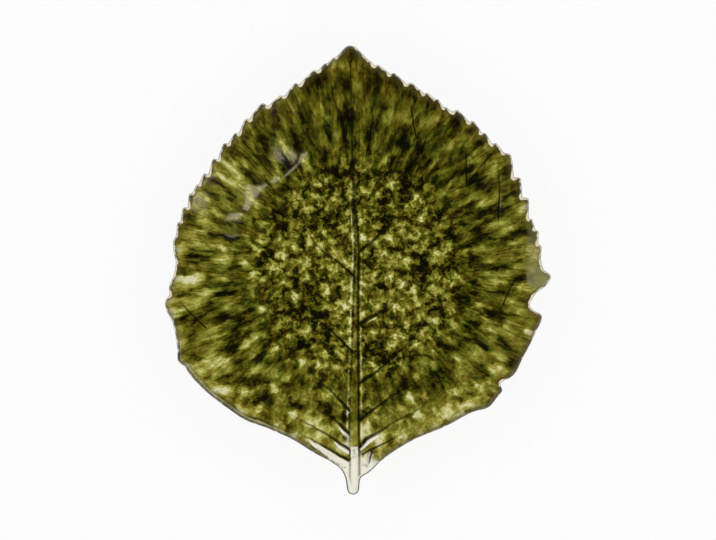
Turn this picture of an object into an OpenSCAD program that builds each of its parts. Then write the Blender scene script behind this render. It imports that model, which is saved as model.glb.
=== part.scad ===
// Leaf-shaped stoneware plate: a shallow dish with a toothed margin, a midrib between two grooves,
// pressed side veins and a stem stub. It stands on a round foot ring. Tip to +Y, table at z = 0.

/* [Leaf outline] */
// Length from the stem's end to the leaf's tip
leaf_length = 270; // [220:1:330]
// Width across the widest teeth
leaf_width = 232; // [190:1:290]
// Length of the stem stub
stem_length = 10; // [6:0.5:20]
// Width of the stem stub
stem_width = 6.6; // [5:0.2:10]
// Height of a usual tooth as a share of its length
tooth_share = 0.2; // [0.06:0.01:0.26]
// Where the point of a tooth lies along it, counted from the stem's side
tooth_lean = 0.8; // [0.6:0.05:0.85]

/* [Dish] */
// Radius of the flat floor
floor_radius = 62; // [60:1:72]
// Depth from the rim down to the floor
dish_depth = 17; // [8:0.5:28]
// Share of the slope in which the floor bends up into it
bend_share = 0.16; // [0.08:0.01:0.3]
// Rise and fall of the wavy rim
wave_height = 0.6; // [0:0.1:2.5]
// Waves around the rim
wave_count = 7; // [3:1:11]

/* [Clay wall] */
// Thickness of the clay at the floor
floor_thickness = 5.5; // [4:0.1:9]
// Thickness of the clay at the rim
rim_thickness = 4; // [3:0.1:7]
// How far the rounded edge stands out between the faces
edge_bulge = 1.2; // [0.5:0.1:1.6]

/* [Veins] */
// Width of the midrib at the stem
rib_width = 5.5; // [4:0.5:10]
// Width of the midrib at the tip
rib_tip_width = 1.5; // [1:0.5:4]
// Height of the midrib's crest at the stem
rib_height = 1; // [0.5:0.1:2.5]
// Sideways bow of the midrib, to the right in its lower part and to the left at the tip
rib_bow = 1.9; // [-4:0.1:4]
// Width of the groove on each side of the midrib
groove_width = 2.5; // [1.5:0.1:4]
// Depth of the grooves beside the midrib
groove_depth = 0.8; // [0.3:0.1:1.8]
// Depth of the side veins
vein_depth = 0.7; // [0.3:0.1:1.8]

/* [Foot ring] */
// Outer radius of the foot ring
foot_radius = 56; // [45:0.5:58]
// Width of the foot ring at the clay
foot_width = 6; // [4:0.5:10]
// Height of the clay floor above the table
foot_height = 5; // [3:0.5:12]
// How much narrower each flank of the foot ring gets at the table
foot_taper = 1.2; // [0.4:0.1:1.6]

/* [Glaze] */
// Thickness of the glaze coats
glaze_thickness = 0.5; // [0.3:0.1:0.8]
// Bare clay left between the glaze and the foot ring
wipe_width = 1; // [0.5:0.1:1.8]

/* [Hidden] */
$fn = 120;

// Knots of the margin from the stem to the tip: hundredths of the blade's length, hundredths of
// the leaf's width out from the midrib, and the size of the tooth that runs up to the next knot,
// 1 for a usual one and 0 for a plain stretch
RIGHT_SHARES = [
    [1.2, 3.9, 0], [4, 7.3, 0], [8.4, 15, 0], [11.9, 24.1, 0], [15.4, 31.7, 0],
    [16.4, 35.2, 0], [18.7, 37.4, 0], [20.1, 38.6, 0], [21.6, 38.2, 0], [23.7, 41.5, 0],
    [27.8, 44, 0], [33.3, 47.1, 0], [37.7, 48.7, 0], [38.6, 46.9, 0], [39.6, 46, 0],
    [42.5, 47.3, 0], [44.7, 50.2, 0], [46.6, 51.3, 0], [48.2, 49.4, 0], [50.6, 48.7, 1],
    [54.1, 48, 0.9], [57.4, 47.2, 1], [60, 45.6, 1.2], [65.1, 43.8, 1.3], [69.6, 41.7, 0.9],
    [75.2, 39, 1], [77.3, 36.1, 0.8], [79.8, 33.4, 1], [82.4, 30.1, 1], [84.8, 25.7, 0.6],
    [85.8, 23.6, 0.8], [87.6, 21.3, 0.9], [88.9, 18.5, 0.8], [91.2, 13.8, 0.8], [93.4, 9.5, 0.8],
    [95.4, 5.5, 0.7], [96.5, 4, 0.5]
];
LEFT_SHARES = [
    [1.9, 3, 0], [3.3, 5, 0], [5.6, 9.8, 0], [8.8, 15.8, 0], [11.5, 22.5, 0],
    [13.5, 28.2, 0], [15.9, 32.2, 0], [18.2, 35.7, 0], [20.9, 39.2, 0], [24.4, 42.7, 0],
    [25.8, 43.7, 0], [26.8, 45.2, 0], [29.6, 45.5, 0], [36.4, 47, 0], [39.2, 48.5, 0],
    [40.8, 48.7, 0], [42.2, 47.7, 0], [44, 47.7, 0], [47.1, 46.5, 0], [49.5, 46, 0],
    [53, 46.6, 0], [54.8, 46.6, 0], [56, 45.9, 0.9], [59.3, 44.7, 1.3], [62.6, 42.9, 0.8],
    [66, 41.6, 0.8], [67.9, 40, 1.5], [70.2, 37.6, 1.2], [73.8, 35, 1], [77.4, 32.3, 1],
    [79.7, 29.7, 0.9], [83.1, 26.7, 1.3], [86.1, 21.9, 0.8], [88.4, 17.8, 1], [91.1, 13.8, 0.7],
    [94.3, 8.9, 0.7], [95.9, 6.6, 0.7], [97.2, 4.5, 0.5]
];
// Places of the side veins along the margin, in hundredths from the stem to the tip
VEIN_SHARES_RIGHT = [19, 24, 41, 53, 68, 80, 88, 94];
VEIN_SHARES_LEFT = [13, 23, 33, 45, 62, 77, 86, 93];
// Spread of the columns from the midrib's groove to the margin, and how deep a vein is at each
SPREAD = [0.12, 0.26, 0.42, 0.58, 0.74, 0.88, 1];
FADE_SHARES = [0.9, 1, 1, 1, 0.8, 0.6, 0];
// How far a side vein bows towards the stem, as a share of its length
BOW_SHARE = 0.07;
// Rings of the underside, from the flat floor to the margin
RINGS = [0.25, 0.5, 0.75, 1];

blade_length = leaf_length - stem_length;
floor_z = foot_height + floor_thickness;
base_radius = foot_radius + wipe_width;
flat_radius = max(floor_radius, base_radius + 1);

// Smooth curve through the knots p, from knot i on
function slope(p, i) =
    i == 0 ? unit(p[1] - p[0]) :
    i == len(p) - 1 ? unit(p[i] - p[i - 1]) :
    let (a = p[i] - p[i - 1], b = p[i + 1] - p[i], da = norm(a), db = norm(b))
    (a * db / da + b * da / db) / (da + db);
function unit(v) = v / norm(v);
function curve(p, i, t) =
    let (d = norm(p[i + 1] - p[i]), u = 1 - t)
    p[i] * (1 + 2 * t) * u * u + p[i + 1] * t * t * (3 - 2 * t)
    + d * t * u * (slope(p, i) * u - slope(p, i + 1) * t);

// A point of the margin that stands out by s from the smooth curve
function margin_point(p, i, t, side, s) =
    let (d = unit(curve(p, i, t + 0.01) - curve(p, i, t - 0.01)))
    curve(p, i, t) + side * s * [d.y, -d.x];

// The margin on one side: a round stem end, plain stretches and stretches of teeth
function knots(table, side) = concat(
    [[side * stem_width / 2, stem_width / 2], [side * stem_width * 0.68, stem_length]],
    [for (k = table) [side * k[1] * leaf_width / 100, stem_length + k[0] * blade_length / 100]],
    [[-rib_bow, leaf_length]]
);
function tooth_points(p, i, side, size) =
    let (h = tooth_share * size * norm(p[i + 1] - p[i]))
    [
        curve(p, i, 0),
        margin_point(p, i, tooth_lean / 2, side, h / 2),
        margin_point(p, i, tooth_lean, side, h)
    ];
function margin(table, side) =
    let (p = knots(table, side), teeth = concat([0, 0], [for (k = table) k[2]]))
    concat(
        [[side * stem_width * 0.354, stem_width * 0.146]],
        [for (i = [0 : len(p) - 2]) each
            teeth[i] == 0 ? [curve(p, i, 0), curve(p, i, 0.5)] : tooth_points(p, i, side, teeth[i])]
    );

RIGHT_EDGE = margin(RIGHT_SHARES, 1);
LEFT_EDGE = margin(LEFT_SHARES, -1);
ROWS = len(RIGHT_EDGE);
LOOP = 2 * ROWS + 2;

// The whole outline, round from the stem's end, with its box centred on the origin
MID = [
    -(max([for (p = RIGHT_EDGE) p.x]) + min([for (p = LEFT_EDGE) p.x])) / 2,
    -leaf_length / 2
];
OUTLINE = [for (p = concat(
    [[0, 0]],
    RIGHT_EDGE,
    [[-rib_bow, leaf_length]],
    [for (i = [ROWS - 1 : -1 : 0]) LEFT_EDGE[i]]
)) p + MID];
function outward(i) =
    let (d = unit(OUTLINE[(i + 1) % LOOP] - OUTLINE[(i + LOOP - 1) % LOOP]))
    [d.y, -d.x];
function outline_moved(s) = [for (i = [0 : LOOP - 1]) OUTLINE[i] + s * outward(i)];
INSET = outline_moved(-edge_bulge);
BULGE = outline_moved(glaze_thickness);

// Reach of the outline from the middle by bearing from the stem, evened out over 60 degrees
STEM_ANGLE = atan2(OUTLINE[0].y, OUTLINE[0].x);
function bearing(p) = (atan2(p.y, p.x) - STEM_ANGLE + 720) % 360;
REACH = concat(
    [for (p = OUTLINE) [bearing(p), norm(p)]],
    [[360, norm(OUTLINE[0])]]
);
function sum(v, i = 0) = i == len(v) ? 0 : v[i] + sum(v, i + 1);
function even_reach(a) = sum([for (d = [-30 : 5 : 30]) lookup((a + d + 360) % 360, REACH)]) / 13;
EVEN_REACH = [for (a = [0 : 5 : 360]) [a, even_reach(a)]];

// Height of the dish above its floor, and the share of the way from the floor to the rim
function share(p) =
    let (s = max(0, (norm(p) - flat_radius) / (lookup(bearing(p), EVEN_REACH) - flat_radius)))
    s < 1 ? s : 1 + 0.15 * (s - 1);
function dish(p) =
    let (s = share(p), e = min(s, 1))
    dish_depth * rise(s) / rise(1) + wave_height * e * e * sin(wave_count * bearing(p));
function rise(s) = s - bend_share * (1 - exp(-s / bend_share));
function top_z(p) = floor_z + dish(p);
function under_z(p) =
    let (e = min(share(p), 1))
    top_z(p) - floor_thickness + (floor_thickness - rim_thickness) * e * e;

// Rows of the upper face: each runs along a side vein from the midrib to a point of the margin
function runs(p, i = 0, so_far = 0) =
    i == len(p) ? [] :
    let (s = so_far + norm(p[i] - (i == 0 ? [0, 0] : p[i - 1])))
    concat([s], runs(p, i + 1, s));
RUN = (runs(RIGHT_EDGE) + runs(LEFT_EDGE)) / 2;
RUN_END = RUN[ROWS - 1] + norm(RIGHT_EDGE[ROWS - 1] - [0, leaf_length]);
function way(i) = max(0, RUN[i] - stem_length) / (RUN_END - stem_length);
function midrib_y(i) = min(RUN[i], stem_length) + blade_length * (0.3 * way(i) + 0.7 * pow(way(i), 4));
function midrib(i) =
    let (y = midrib_y(i))
    MID + [rib_bow * sin(270 * y / leaf_length), y];
function nearest_row(w) =
    let (far = [for (i = [0 : ROWS - 1]) abs(way(i) - w)])
    search(min(far), far)[0];
VEIN_ROWS_RIGHT = [for (w = VEIN_SHARES_RIGHT) nearest_row(w / 100)];
VEIN_ROWS_LEFT = [for (w = VEIN_SHARES_LEFT) nearest_row(w / 100)];

function row_point(m, e, side, t) =
    let (d = e - m)
    m + d * t + BOW_SHARE * t * (1 - t) * side * [d.y, -d.x];
// Half a row, from beside the midrib out to the margin
function half_row(i, side) =
    let (
        m = midrib(i),
        e = INSET[side > 0 ? 1 + i : LOOP - 1 - i],
        half = abs(e.x - m.x),
        rib = rib_width + (rib_tip_width - rib_width) * midrib_y(i) / leaf_length,
        t1 = min(0.3, rib / 2 / half),
        t2 = min(0.55, t1 + groove_width / half),
        vein = len(search(i, side > 0 ? VEIN_ROWS_RIGHT : VEIN_ROWS_LEFT)) > 0 ? vein_depth : 0
    )
    concat(
        [on_face(row_point(m, e, side, t1), -groove_depth * min(1, half / (rib_width + 3 * groove_width)))],
        [on_face(row_point(m, e, side, t2), 0)],
        [for (k = [0 : len(SPREAD) - 1])
            on_face(row_point(m, e, side, t2 + (1 - t2) * SPREAD[k]), -vein * FADE_SHARES[k])]
    );
function on_face(p, relief) = [p.x, p.y, top_z(p) + relief];
function crest(i) =
    on_face(
        midrib(i),
        rib_height * min(1, RUN[i] / stem_length) * (1 - midrib_y(i) / leaf_length)
    );
HALF = len(SPREAD) + 2;
COLS = 2 * HALF + 1;
FACE = concat(
    [on_face(INSET[0], 0)],
    [for (i = [0 : ROWS - 1]) each
        let (left = half_row(i, -1), right = half_row(i, 1))
        concat([for (k = [HALF - 1 : -1 : 0]) left[k]], [crest(i)], right)],
    [on_face(INSET[ROWS + 1], 0)]
);
FACE_END = len(FACE) - 1;
function at(i, k) = 1 + i * COLS + k;
// Order of the margin's points within the face, round from the stem's end
FACE_LOOP = concat(
    [0],
    [for (i = [0 : ROWS - 1]) at(i, COLS - 1)],
    [FACE_END],
    [for (i = [ROWS - 1 : -1 : 0]) at(i, 0)]
);
FACE_TRIANGLES = concat(
    [for (k = [0 : COLS - 2]) [0, at(0, k), at(0, k + 1)]],
    [for (i = [0 : ROWS - 2], k = [0 : COLS - 2]) each [
        [at(i, k), at(i + 1, k), at(i + 1, k + 1)],
        [at(i, k), at(i + 1, k + 1), at(i, k + 1)]
    ]],
    [for (k = [0 : COLS - 2]) [FACE_END, at(ROWS - 1, k + 1), at(ROWS - 1, k)]]
);

// Rings of the underside, from the edge of the foot's flat to the margin
function under_ring(r) = [for (p = INSET) [p.x, p.y, 0] * r / norm(p) + [0, 0, foot_height]];
function slope_ring(s) = [for (p = INSET)
    let (q = unit(p) * (flat_radius + (norm(p) - flat_radius) * s))
    [q.x, q.y, under_z(q)]];
UNDER = concat([under_ring(base_radius), under_ring(flat_radius)], [for (s = RINGS) slope_ring(s)]);
EDGE_LOW = slope_ring(1);
EDGE_TOP = [for (i = FACE_LOOP) FACE[i]];
function mid_loop(ring) = [for (i = [0 : LOOP - 1])
    [ring[i].x, ring[i].y, (EDGE_LOW[i].z + EDGE_TOP[i].z) / 2]];

// Triangles between two loops of point numbers, facing out when b lies above a. The other
// diagonal serves a face that lies against a band run the opposite way.
function band(a, b, other = false) = [for (i = [0 : LOOP - 1]) each
    let (j = (i + 1) % LOOP)
    other ? [[a[i], b[i], a[j]], [b[i], b[j], a[j]]] :
    [[a[i], b[i], b[j]], [a[i], b[j], a[j]]]];
function numbers(from) = [for (i = [0 : LOOP - 1]) from + i];
function shifted(faces, by) = [for (f = faces) [for (i = f) i + by]];
function turned(faces) = [for (f = faces) [f[0], f[2], f[1]]];
function lifted(points, by) = [for (p = points) p + [0, 0, by]];

// A closed band of glaze through loops given round its section, first those of its outer face
// and then as many of the face that lies on the clay
module ring_solid(loops) {
    count = len(loops);
    polyhedron(
        points = [for (l = loops) each l],
        faces = [for (k = [0 : count - 1]) each
            band(numbers(k * LOOP), numbers((k + 1) % count * LOOP), k >= count / 2)]
    );
}

// Clay blade: flat underside, sloping underside, rounded edge and veined face
module stoneware_body() {
    loops = concat(UNDER, [mid_loop(OUTLINE)]);
    base = len(loops) * LOOP;
    color("#b9a68c")
        polyhedron(
            points = concat([for (l = loops) each l], FACE),
            faces = concat(
                [numbers(0)],
                [for (k = [0 : len(loops) - 2]) each band(numbers(k * LOOP), numbers((k + 1) * LOOP))],
                band(numbers(base - LOOP), [for (i = FACE_LOOP) base + i]),
                shifted(FACE_TRIANGLES, base)
            )
        );
}

// Bare ring of clay with tapered flanks, fixed to the flat underside
module foot_ring() {
    inner = foot_radius - foot_width;
    color("#c4ad8e")
        rotate_extrude()
            polygon([
                [inner, foot_height],
                [inner + foot_taper, foot_taper / 2],
                [inner + foot_taper * 1.4, 0],
                [foot_radius - foot_taper * 1.4, 0],
                [foot_radius - foot_taper, foot_taper / 2],
                [foot_radius, foot_height]
            ]);
}

// Coat on the veined upper face
module face_glaze() {
    color("#5f5f1c")
        polyhedron(
            points = concat(FACE, lifted(FACE, glaze_thickness)),
            faces = concat(
                turned(FACE_TRIANGLES),
                band(FACE_LOOP, [for (i = FACE_LOOP) i + FACE_END + 1]),
                shifted(FACE_TRIANGLES, FACE_END + 1)
            )
        );
}

// Thin coat round the edge, between the upper and the lower coats
module rim_glaze() {
    color("#cfc6a4")
        ring_solid([
            lifted(EDGE_LOW, -glaze_thickness),
            mid_loop(BULGE),
            lifted(EDGE_TOP, glaze_thickness),
            EDGE_TOP,
            mid_loop(OUTLINE),
            EDGE_LOW
        ]);
}

// Coat on the underside, from the rim in to the wiped foot
module back_glaze() {
    last = len(UNDER) - 1;
    color("#6a6724")
        ring_solid(concat(
            [for (ring = UNDER) lifted(ring, -glaze_thickness)],
            [for (k = [last : -1 : 0]) UNDER[k]]
        ));
}

// Round patch of glaze inside the foot ring
module foot_well_glaze() {
    color("#6a6724")
        translate([0, 0, foot_height - glaze_thickness])
            cylinder(r = foot_radius - foot_width - wipe_width, h = glaze_thickness);
}

stoneware_body();
foot_ring();
face_glaze();
rim_glaze();
back_glaze();
foot_well_glaze();
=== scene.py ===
"""Leaf-shaped stoneware plate in a mottled green glaze, dressed in the part's own frame."""
import math

import bpy
import numpy as np
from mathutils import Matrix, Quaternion, Vector, kdtree


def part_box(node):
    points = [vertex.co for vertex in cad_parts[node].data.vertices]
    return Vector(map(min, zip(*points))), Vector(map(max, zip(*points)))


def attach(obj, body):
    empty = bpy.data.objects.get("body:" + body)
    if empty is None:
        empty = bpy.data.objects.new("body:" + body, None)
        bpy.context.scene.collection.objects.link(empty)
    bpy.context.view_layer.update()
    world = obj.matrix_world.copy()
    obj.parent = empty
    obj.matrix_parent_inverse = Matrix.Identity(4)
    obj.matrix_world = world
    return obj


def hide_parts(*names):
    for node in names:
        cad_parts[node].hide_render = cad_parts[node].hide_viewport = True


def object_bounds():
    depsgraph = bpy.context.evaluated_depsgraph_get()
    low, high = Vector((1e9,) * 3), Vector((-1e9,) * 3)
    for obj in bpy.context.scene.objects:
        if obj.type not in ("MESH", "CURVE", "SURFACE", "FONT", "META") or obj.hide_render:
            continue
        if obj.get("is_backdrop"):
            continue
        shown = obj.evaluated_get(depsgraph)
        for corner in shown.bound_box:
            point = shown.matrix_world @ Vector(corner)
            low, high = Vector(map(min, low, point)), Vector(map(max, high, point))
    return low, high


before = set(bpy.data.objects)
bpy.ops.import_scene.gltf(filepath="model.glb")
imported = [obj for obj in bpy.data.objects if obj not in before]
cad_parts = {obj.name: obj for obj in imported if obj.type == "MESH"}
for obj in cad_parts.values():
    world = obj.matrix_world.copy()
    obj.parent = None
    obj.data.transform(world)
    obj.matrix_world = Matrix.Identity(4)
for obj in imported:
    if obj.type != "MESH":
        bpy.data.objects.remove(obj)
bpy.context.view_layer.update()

MM = 0.001

# Sizes in millimetres. Those of the leaf, the foot ring and the coats come from the frame.
clay_low, clay_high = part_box("stoneware_body")
foot_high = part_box("foot_ring")[1]
well_low, well_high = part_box("foot_well_glaze")
LEAF_LENGTH = (clay_high.y - clay_low.y) / MM
LEAF_WIDTH = (clay_high.x - clay_low.x) / MM
FOOT_RADIUS = foot_high.x / MM
FOOT_HEIGHT = foot_high.z / MM
WELL_RADIUS = well_high.x / MM
GLAZE = (well_high.z - well_low.z) / MM
FOOT_WIDTH = 6.0
FOOT_TAPER = 1.2
WIPE = FOOT_RADIUS - FOOT_WIDTH - WELL_RADIUS
STEM_LENGTH = 10.0
STEM_WIDTH = 6.6
TOOTH_SHARE = 0.2
TOOTH_LEAN = 0.8
FLOOR_RADIUS = 62.0
RUN_RADIUS = 56
DISH_DEPTH = 17.0
FLOOR_BEND = 0.16
WAVE_HEIGHT = 0.6
WAVE_COUNT = 7
FLOOR_THICKNESS = 5.5
RIM_THICKNESS = 4.0
EDGE_INSET = 1.2
RIB_WIDTH = 5.5
RIB_HEIGHT = 1.0
RIB_BOW = 1.9
GROOVE_WIDTH = 2.5
GROOVE_DEPTH = 0.8
VEIN_DEPTH = 0.7
VEIN_BOW = 0.07
BLADE_LENGTH = LEAF_LENGTH - STEM_LENGTH
FLOOR_Z = FOOT_HEIGHT + FLOOR_THICKNESS
BASE_RADIUS = FOOT_RADIUS + WIPE

# Knots of the margin from the stem to the tip: hundredths of the blade's length, hundredths of
# the leaf's width out from the midrib, and the size of the tooth that runs up to the next knot
RIGHT = [
    (1.2, 3.9, 0), (4, 7.3, 0), (8.4, 15, 0), (11.9, 24.1, 0), (15.4, 31.7, 0),
    (16.4, 35.2, 0), (18.7, 37.4, 0), (20.1, 38.6, 0), (21.6, 38.2, 0), (23.7, 41.5, 0),
    (27.8, 44, 0), (33.3, 47.1, 0), (37.7, 48.7, 0), (38.6, 46.9, 0), (39.6, 46, 0),
    (42.5, 47.3, 0), (44.7, 50.2, 0), (46.6, 51.3, 0), (48.2, 49.4, 0), (50.6, 48.7, 1),
    (54.1, 48, 0.9), (57.4, 47.2, 1), (60, 45.6, 1.2), (65.1, 43.8, 1.3), (69.6, 41.7, 0.9),
    (75.2, 39, 1), (77.3, 36.1, 0.8), (79.8, 33.4, 1), (82.4, 30.1, 1), (84.8, 25.7, 0.6),
    (85.8, 23.6, 0.8), (87.6, 21.3, 0.9), (88.9, 18.5, 0.8), (91.2, 13.8, 0.8), (93.4, 9.5, 0.8),
    (95.4, 5.5, 0.7), (96.5, 4, 0.5),
]
LEFT = [
    (1.9, 3, 0), (3.3, 5, 0), (5.6, 9.8, 0), (8.8, 15.8, 0), (11.5, 22.5, 0),
    (13.5, 28.2, 0), (15.9, 32.2, 0), (18.2, 35.7, 0), (20.9, 39.2, 0), (24.4, 42.7, 0),
    (25.8, 43.7, 0), (26.8, 45.2, 0), (29.6, 45.5, 0), (36.4, 47, 0), (39.2, 48.5, 0),
    (40.8, 48.7, 0), (42.2, 47.7, 0), (44, 47.7, 0), (47.1, 46.5, 0), (49.5, 46, 0),
    (53, 46.6, 0), (54.8, 46.6, 0), (56, 45.9, 0.9), (59.3, 44.7, 1.3), (62.6, 42.9, 0.8),
    (66, 41.6, 0.8), (67.9, 40, 1.5), (70.2, 37.6, 1.2), (73.8, 35, 1), (77.4, 32.3, 1),
    (79.7, 29.7, 0.9), (83.1, 26.7, 1.3), (86.1, 21.9, 0.8), (88.4, 17.8, 1), (91.1, 13.8, 0.7),
    (94.3, 8.9, 0.7), (95.9, 6.6, 0.7), (97.2, 4.5, 0.5),
]
TIP = np.array([-RIB_BOW, LEAF_LENGTH])
# Side veins: points out from the midrib in millimetres from the stem's end, the width at the
# midrib, and the length and width of the cream bar below the vein
VEINS = [
    (((-1.9, 20.2), (-13.6, 26.3), (-23.9, 32.3), (-31.7, 35.9), (-43, 42)), 1.5, 28, 4.4),
    (((-1.8, 26.6), (-13.6, 34.1), (-26.3, 41.4), (-34.7, 45.6), (-47, 52)), 1.5, 11, 2.8),
    (((-0.9, 34.8), (-11.8, 44.9), (-21.4, 50), (-31, 56)), 1.8, 9, 2.6),
    (((-0.5, 48.2), (-11, 58.6), (-20.5, 67.7), (-33, 78)), 1.8, 5, 0.8),
    (((0.4, 84.5), (-11.8, 96.3), (-25.7, 108.4), (-39, 121.7), (-52, 133)), 1.4, 0, 0),
    (((0.4, 131.6), (-8.8, 139.8), (-16.6, 144.7), (-23.3, 151.3), (-31.7, 164), (-39, 170)), 1.2, 0, 0),
    (((11.3, 25.6), (9.8, 20), (8.8, 16.6)), 0.9, 0, 0),
    (((5.6, 24), (14.8, 28.7), (23.3, 32.9), (34, 38.5)), 1, 0, 0),
    (((3.9, 28.4), (8.8, 33.6), (14, 36.2), (24.4, 42.6), (34.7, 47.8), (45, 54), (58, 61)), 2, 14, 3.4),
    (((3.6, 43.6), (14, 51.7), (24.4, 59), (35.6, 65.1), (52.8, 74.6), (68, 83)), 1.6, 0, 0),
    (((3.4, 65.6), (14, 72.8), (28.7, 85.5), (43.8, 101.8), (58.9, 115.7), (71, 127)), 1.7, 0, 0),
    (((3.3, 101.8), (11.8, 106.6), (19.6, 111.4), (30, 117)), 2.1, 0, 0),
    (((2.2, 145), (11.8, 152.5), (19.6, 161), (25.7, 165.8), (31, 171)), 2.1, 0, 0),
    (((38, 217), (36, 227), (34, 238)), 0.7, 0, 0),
    (((69, 188), (68.5, 201), (67, 214)), 0.7, 0, 0),
    (((88, 166), (88.5, 185), (87, 205)), 0.7, 0, 0),
    (((91, 114), (95, 124), (102, 136)), 0.7, 0, 0),
    (((-89, 100), (-97, 107.5), (-104, 115), (-108, 119.5)), 0.7, 0, 0),
]
# Lengths beside the margin: turn from the stem and half angle, depth and half depth, change of tone
MARGIN_TONES = [
    (32, 24, 11, 6, 0.08), (32, 24, 22, 7, 0.06), (72, 18, 10, 3.5, -0.04), (72, 18, 23, 8, 0.07),
    (115, 20, 22, 7, 0.05), (205, 20, 12, 5, 0.04), (288, 18, 2.5, 2.5, 0.13), (288, 18, 14, 7, -0.07),
    (325, 20, 12, 5, -0.08), (325, 20, 22, 6, 0.06),
]
# Pools of dark glaze in the corners above the veins' roots: place and radius
CORNER_POOLS = [(5.8, 49.5, 2.2), (-5.2, 45, 2.6), (-4.6, 33, 2.2), (-3.2, 60, 2.0)]

ROWS = 560
INNER_COLUMNS = 14
OUTER_COLUMNS = 110
FOOT_STEPS = 160


def ease(x, low, high):
    """Smooth step of x from 0 at low to 1 at high."""
    t = np.clip((x - low) / (high - low), 0, 1)
    return t * t * (3 - 2 * t)


def bell(x, width):
    return np.exp(-((x / width) ** 2))


def margin(table, side):
    """One side of the leaf's margin from the stem's end to the tip, finely stepped."""
    table = np.array(table, float)
    knots = np.vstack([
        [(side * STEM_WIDTH / 2, STEM_WIDTH / 2), (side * STEM_WIDTH * 0.68, STEM_LENGTH)],
        np.column_stack([
            side * table[:, 1] * LEAF_WIDTH / 100,
            STEM_LENGTH + table[:, 0] * BLADE_LENGTH / 100,
        ]),
        [TIP],
    ])
    teeth = np.concatenate([[0, 0], table[:, 2]])
    step = np.diff(knots, axis=0)
    far = np.linalg.norm(step, axis=1)
    lean = np.empty_like(knots)
    lean[0] = step[0] / far[0]
    lean[-1] = step[-1] / far[-1]
    a, b = far[:-1, None], far[1:, None]
    lean[1:-1] = (step[:-1] * b / a + step[1:] * a / b) / (a + b)
    turn = np.linspace(0, math.pi / 2, 10)[:-1]
    points = [np.column_stack([side * np.sin(turn), 1 - np.cos(turn)]) * STEM_WIDTH / 2]
    for i, d in enumerate(far):
        t = np.linspace(0, 1, max(8, int(d / 0.25)))[:-1, None]
        u = 1 - t
        line = knots[i] * (1 + 2 * t) * u * u + knots[i + 1] * t * t * (3 - 2 * t)
        line = line + d * t * u * (lean[i] * u - lean[i + 1] * t)
        if teeth[i]:
            rise = np.minimum(t[:, 0] / TOOTH_LEAN, 1) ** 0.9 - ease(t[:, 0], TOOTH_LEAN, 1)
            along = np.gradient(line, axis=0)
            along /= np.linalg.norm(along, axis=1)[:, None]
            out = side * np.column_stack([along[:, 1], -along[:, 0]])
            line = line + (rise * TOOTH_SHARE * teeth[i] * d)[:, None] * out
        points.append(line)
    points = np.vstack(points + [[TIP]])
    run = np.concatenate([[0], np.cumsum(np.linalg.norm(np.diff(points, axis=0), axis=1))])
    at = np.linspace(0, run[-1], ROWS + 1)
    return np.column_stack([np.interp(at, run, points[:, k]) for k in (0, 1)]), run[-1]


right_margin, right_run = margin(RIGHT, 1)
left_margin, left_run = margin(LEFT, -1)
MID = np.array([-(right_margin[:, 0].max() + left_margin[:, 0].min()) / 2, -LEAF_LENGTH / 2])
# The outline runs round from the stem's end, up the right side and down the left
OUTLINE = np.vstack([right_margin, left_margin[-2:0:-1]]) + MID
LOOP = len(OUTLINE)


def evened(values, reach):
    """A closed run of values, averaged with its neighbours up to reach places away."""
    kernel = bell(np.arange(-3 * reach, 3 * reach + 1), reach)
    kernel /= kernel.sum()
    pad = 3 * reach
    looped = np.concatenate([values[-pad:], values, values[:pad]])
    return np.apply_along_axis(lambda v: np.convolve(v, kernel, "valid"), 0, looped)


ahead = evened(np.roll(OUTLINE, -1, 0) - np.roll(OUTLINE, 1, 0), 2)
ahead /= np.linalg.norm(ahead, axis=1)[:, None]
OUTWARD = np.column_stack([ahead[:, 1], -ahead[:, 0]])
INSET = OUTLINE - EDGE_INSET * OUTWARD
# How far each place of the margin lies back in a notch, 1 for a deep one, where the cream line is wide
NOTCH = np.clip(((evened(OUTLINE, 6) - OUTLINE) * OUTWARD).sum(1) / 0.7, 0, 1)
# The line is kept narrow in the cut below the spur and made narrower along the lower half
NOTCH *= 1 - 0.7 * (OUTLINE[:, 0] > 0) * bell(OUTLINE[:, 1] + 22, 14)
NOTCH -= 0.5 * (1 - ease(OUTLINE[:, 1], -70, -10))

STEM_ANGLE = math.atan2(OUTLINE[0, 1], OUTLINE[0, 0])
# Where the lip is thickest, as a turn from the stem
LIP_TURN = math.radians(322)


def bearing(p):
    """Angle round the plate from the stem."""
    return (np.arctan2(p[..., 1], p[..., 0]) - STEM_ANGLE) % (2 * math.pi)


turns = np.radians(np.arange(0, 361, 5.0))
order = np.argsort(bearing(OUTLINE))
outline_turns = bearing(OUTLINE)[order]
outline_reach = np.linalg.norm(OUTLINE, axis=1)[order]
even_reach = np.mean([
    np.interp((turns + math.radians(d)) % (2 * math.pi), outline_turns, outline_reach)
    for d in range(-30, 31, 5)
], axis=0)


def share(p):
    """Share of the way from the edge of the flat floor to the rim, a little over 1 beyond it."""
    r = np.linalg.norm(p, axis=-1)
    reach = np.interp(bearing(p), turns, even_reach)
    s = np.maximum(0, (r - FLOOR_RADIUS) / (reach - FLOOR_RADIUS))
    return np.where(s < 1, s, 1 + 0.15 * (s - 1))


def rise(s):
    """The floor bends up and then runs straight to the rim."""
    return s - FLOOR_BEND * (1 - np.exp(-s / FLOOR_BEND))


def clay_top(p):
    """Height of the clay's upper face without veins."""
    s = share(p)
    e = np.minimum(s, 1)
    dish = DISH_DEPTH * rise(s) / rise(1)
    return FLOOR_Z + dish + WAVE_HEIGHT * e * e * np.sin(WAVE_COUNT * bearing(p))


def clay_under(p):
    e = np.minimum(share(p), 1)
    return clay_top(p) - FLOOR_THICKNESS + (FLOOR_THICKNESS - RIM_THICKNESS) * e * e


def midrib_x(y):
    """The midrib bows to the right in its lower part and to the left at the tip."""
    return RIB_BOW * np.sin(1.5 * math.pi * np.clip(y / LEAF_LENGTH, 0, 1))


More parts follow.
